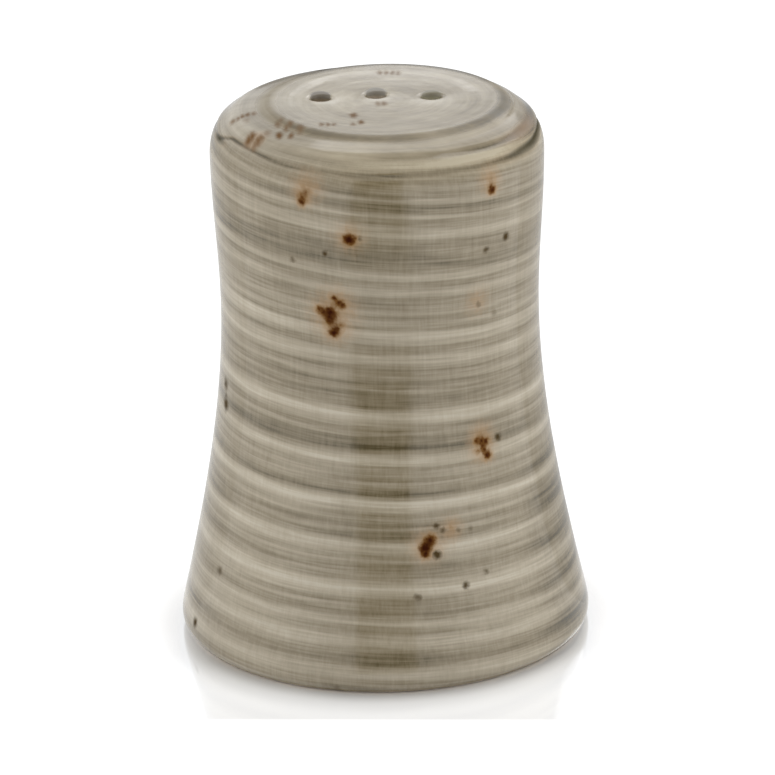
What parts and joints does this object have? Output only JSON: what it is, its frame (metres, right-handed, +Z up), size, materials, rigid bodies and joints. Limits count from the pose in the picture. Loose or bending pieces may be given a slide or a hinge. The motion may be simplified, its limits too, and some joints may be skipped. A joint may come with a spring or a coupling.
{
  "type": "salt shaker",
  "caption": "Waisted glazed ceramic salt shaker with a row of pour holes in its raised top, a foot ring, and a soft ribbed stopper that pulls out of the filling hole below.",
  "frame": {"origin": "centre of the foot ring, on the table", "axes": "+Z up along the body's axis, +X along the row of pour holes, +Y towards the side that the row is nearer to"},
  "size_m": [0.058, 0.058, 0.0774],
  "materials": {
    "glaze": "glossy grey-beige glaze, wheel-banded, with rust flecks",
    "stopper": "matt soft white"
  },
  "bodies": {
    "body": {"shaker_body": "glaze"},
    "stopper": {"stopper": "stopper"}
  },
  "joints": [
    {"name": "stopper_pull", "type": "slide", "parent": "body", "child": "stopper", "axis": [0, 0, -1], "range_m": [0, 0.03]}
  ]
}
